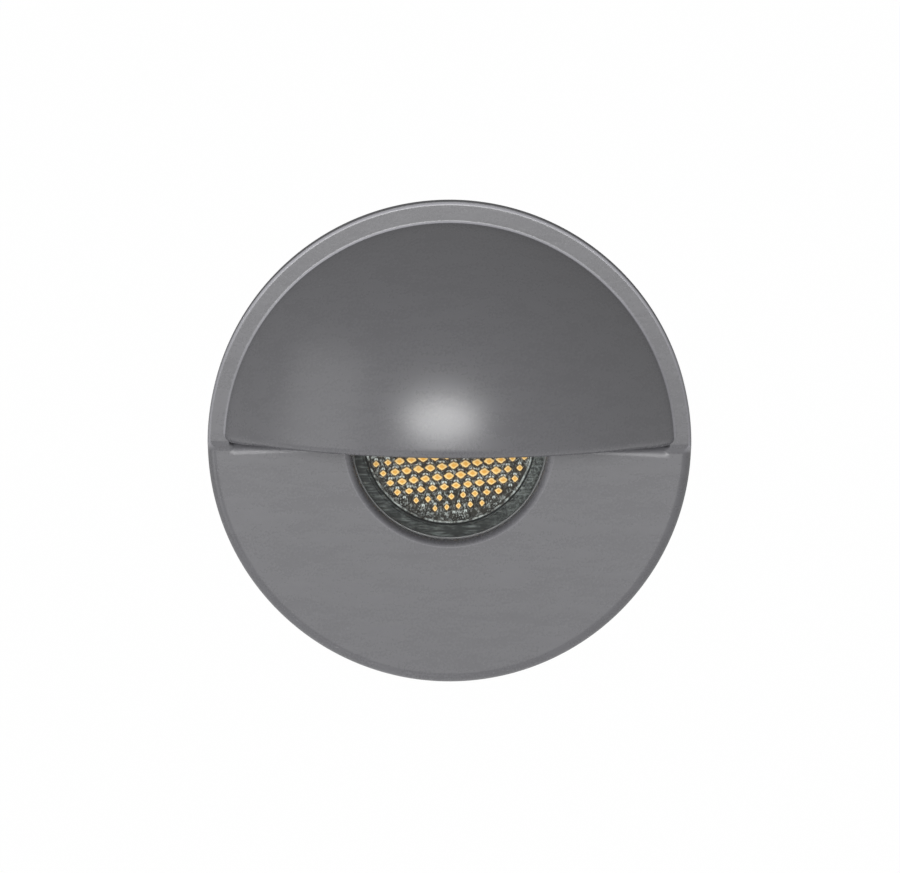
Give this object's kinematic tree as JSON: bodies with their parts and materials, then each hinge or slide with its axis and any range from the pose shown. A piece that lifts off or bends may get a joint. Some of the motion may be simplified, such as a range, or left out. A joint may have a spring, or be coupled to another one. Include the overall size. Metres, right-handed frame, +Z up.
{
  "type": "step light",
  "caption": "Round recessed step light with a cast eyelid hood over a beaded LED optic, a finned body, a cable gland and sprung clips that grip the wall.",
  "frame": {"origin": "centre of the mounting plane, at the back of the gasket, on the collar's axis", "axes": "+Y into the wall along the collar, -Y the way the light looks, +Z up, +X to the light's right as the viewer sees it"},
  "size_m": [0.0635, 0.0667, 0.0636],
  "materials": {
    "grey_cast_metal": "satin powder coat over a fine cast skin",
    "window_glass": "clear polished",
    "black_silicone": "matte",
    "black_moulding": "fine satin",
    "clear_optic": "clear moulded acrylic over a yellow phosphor",
    "led_phosphor": "yellow silicone dome",
    "white_board": "white solder mask",
    "plated_steel": "zinc plated",
    "grey_silicone": "soft matte",
    "bare_cast_aluminium": "die-cast, tumbled",
    "red_insulation": "extruded insulation",
    "black_insulation": "extruded insulation",
    "green_board": "green solder mask",
    "black_epoxy": "moulded epoxy",
    "ferrite": "sintered ferrite",
    "capacitor_sleeve": "shrunk sleeve",
    "green_moulding": "moulded",
    "black_nylon": "moulded nylon",
    "gland_rubber": "matte",
    "foam_gasket": "closed-cell foam",
    "spring_steel": "stamped strip",
    "spring_wire": "drawn wire",
    "pad_rubber": "dipped rubber"
  },
  "bodies": {
    "housing": {"faceplate": "grey_cast_metal", "window": "window_glass", "window_gasket": "black_silicone", "optic_holder": "black_moulding", "beaded_optic": "clear_optic", "led_package": "led_phosphor", "led_board": "white_board", "led_board_screws": "plated_steel", "thermal_pad": "grey_silicone", "housing": "bare_cast_aluminium", "housing_oring": "black_silicone", "faceplate_screws": "plated_steel", "lead_red": "red_insulation", "lead_black": "black_insulation", "driver_board": "green_board", "driver_board_screws": "plated_steel", "rectifier": "black_epoxy", "driver_chip": "black_epoxy", "inductor": "ferrite", "capacitor": "capacitor_sleeve", "terminal_block": "green_moulding", "rear_cap": "bare_cast_aluminium", "rear_cap_oring": "black_silicone", "rear_cap_screws": "plated_steel", "gland_body": "black_nylon", "gland_oring": "black_silicone", "gland_seal": "gland_rubber", "gland_nut": "black_nylon", "mounting_gasket": "foam_gasket", "hinge_pin_right": "plated_steel", "hinge_pin_left": "plated_steel", "torsion_spring_right": "spring_wire", "torsion_spring_left": "spring_wire"},
    "clip_right": {"clip_arm_right": "spring_steel", "clip_pad_right": "pad_rubber"},
    "clip_left": {"clip_arm_left": "spring_steel", "clip_pad_left": "pad_rubber"}
  },
  "joints": [
    {"name": "clip_right_hinge", "type": "hinge", "parent": "housing", "child": "clip_right", "pos_m": [0.0193, 0.01, 0], "axis": [0, 0, 1], "range_deg": [0, 115], "stiffness_Nm_per_rad": 0.01, "deforming": ["torsion_spring_right"]},
    {"name": "clip_left_hinge", "type": "hinge", "parent": "housing", "child": "clip_left", "pos_m": [-0.0193, 0.01, 0], "axis": [0, 0, -1], "range_deg": [0, 115], "stiffness_Nm_per_rad": 0.01, "deforming": ["torsion_spring_left"]}
  ]
}
